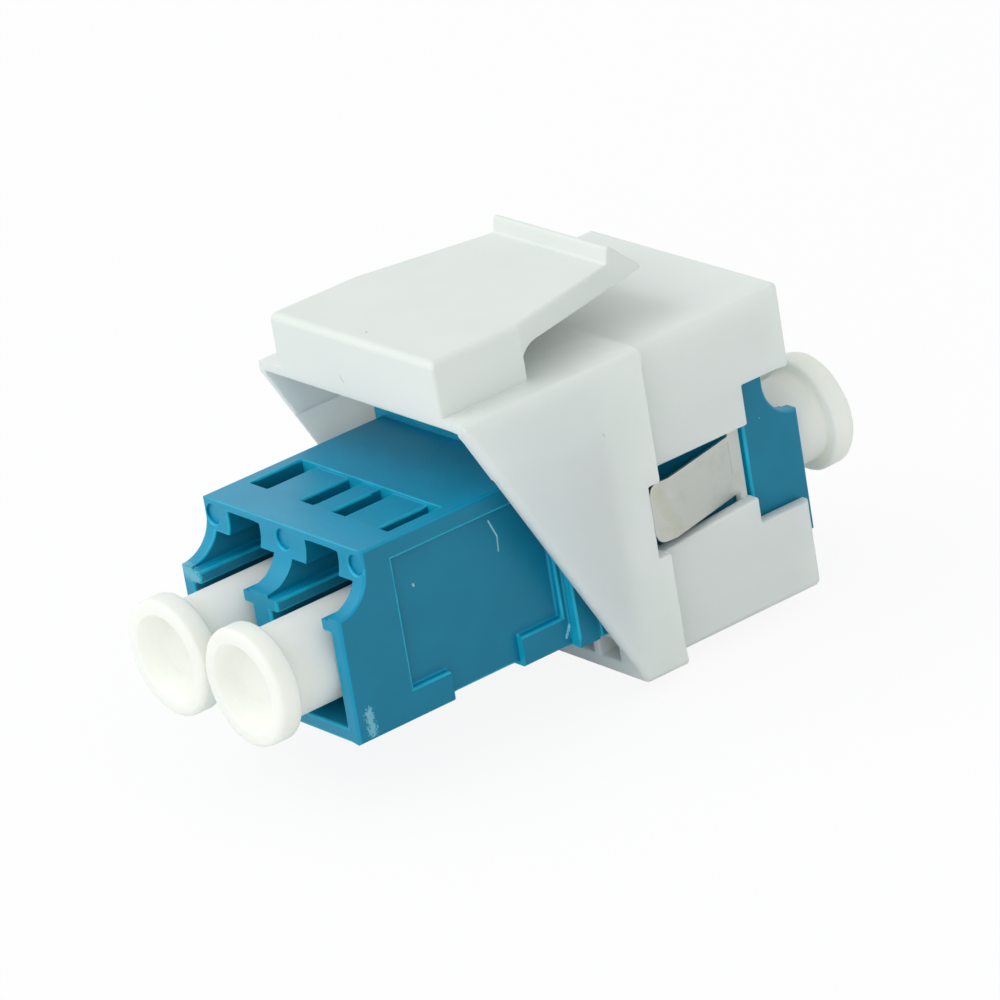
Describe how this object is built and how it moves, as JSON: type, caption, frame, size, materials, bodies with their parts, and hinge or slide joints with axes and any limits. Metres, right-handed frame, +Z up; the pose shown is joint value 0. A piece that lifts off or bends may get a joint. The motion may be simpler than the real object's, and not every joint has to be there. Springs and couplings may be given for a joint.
{
  "type": "keystone fibre adapter",
  "caption": "Duplex fibre optic adapter in a snap-in keystone carrier with a flared skirt, bending latch, folded spring clip and pull-out dust caps.",
  "frame": {"origin": "middle of the lower edge of the keystone opening, in the plane where the carrier's shoulder stops against the back of the wall plate", "axes": "+X across the two ports to the right, +Y out through the wall plate into the room, +Z up towards the snap latch"},
  "size_m": [0.0166, 0.0371, 0.0216],
  "materials": {
    "white_moulding": "fine satin",
    "blue_moulding": "satin",
    "white_cap": "soft matte",
    "zirconia": "polished ceramic",
    "spring_steel": "satin"
  },
  "bodies": {
    "adapter": {"keystone_carrier": "white_moulding", "adapter_back_half": "blue_moulding", "adapter_front_half": "blue_moulding", "sleeve_left": "zirconia", "sleeve_right": "zirconia", "spring_clip": "spring_steel"},
    "latch": {"snap_latch": "white_moulding"},
    "cap_back_left_body": {"cap_back_left": "white_cap"},
    "cap_back_right_body": {"cap_back_right": "white_cap"},
    "cap_front_left_body": {"cap_front_left": "white_cap"},
    "cap_front_right_body": {"cap_front_right": "white_cap"}
  },
  "joints": [
    {"name": "latch_flex", "type": "hinge", "parent": "adapter", "child": "latch", "pos_m": [0, -0.00555, 0.0179], "axis": [-1, 0, 0], "range_deg": [0, 10], "stiffness_Nm_per_rad": 0.8},
    {"name": "cap_back_left_pull", "type": "slide", "parent": "adapter", "child": "cap_back_left_body", "axis": [0, -1, 0], "range_m": [0, 0.02]},
    {"name": "cap_back_right_pull", "type": "slide", "parent": "adapter", "child": "cap_back_right_body", "axis": [0, -1, 0], "range_m": [0, 0.02]},
    {"name": "cap_front_left_pull", "type": "slide", "parent": "adapter", "child": "cap_front_left_body", "axis": [0, 1, 0], "range_m": [0, 0.02]},
    {"name": "cap_front_right_pull", "type": "slide", "parent": "adapter", "child": "cap_front_right_body", "axis": [0, 1, 0], "range_m": [0, 0.02]}
  ]
}
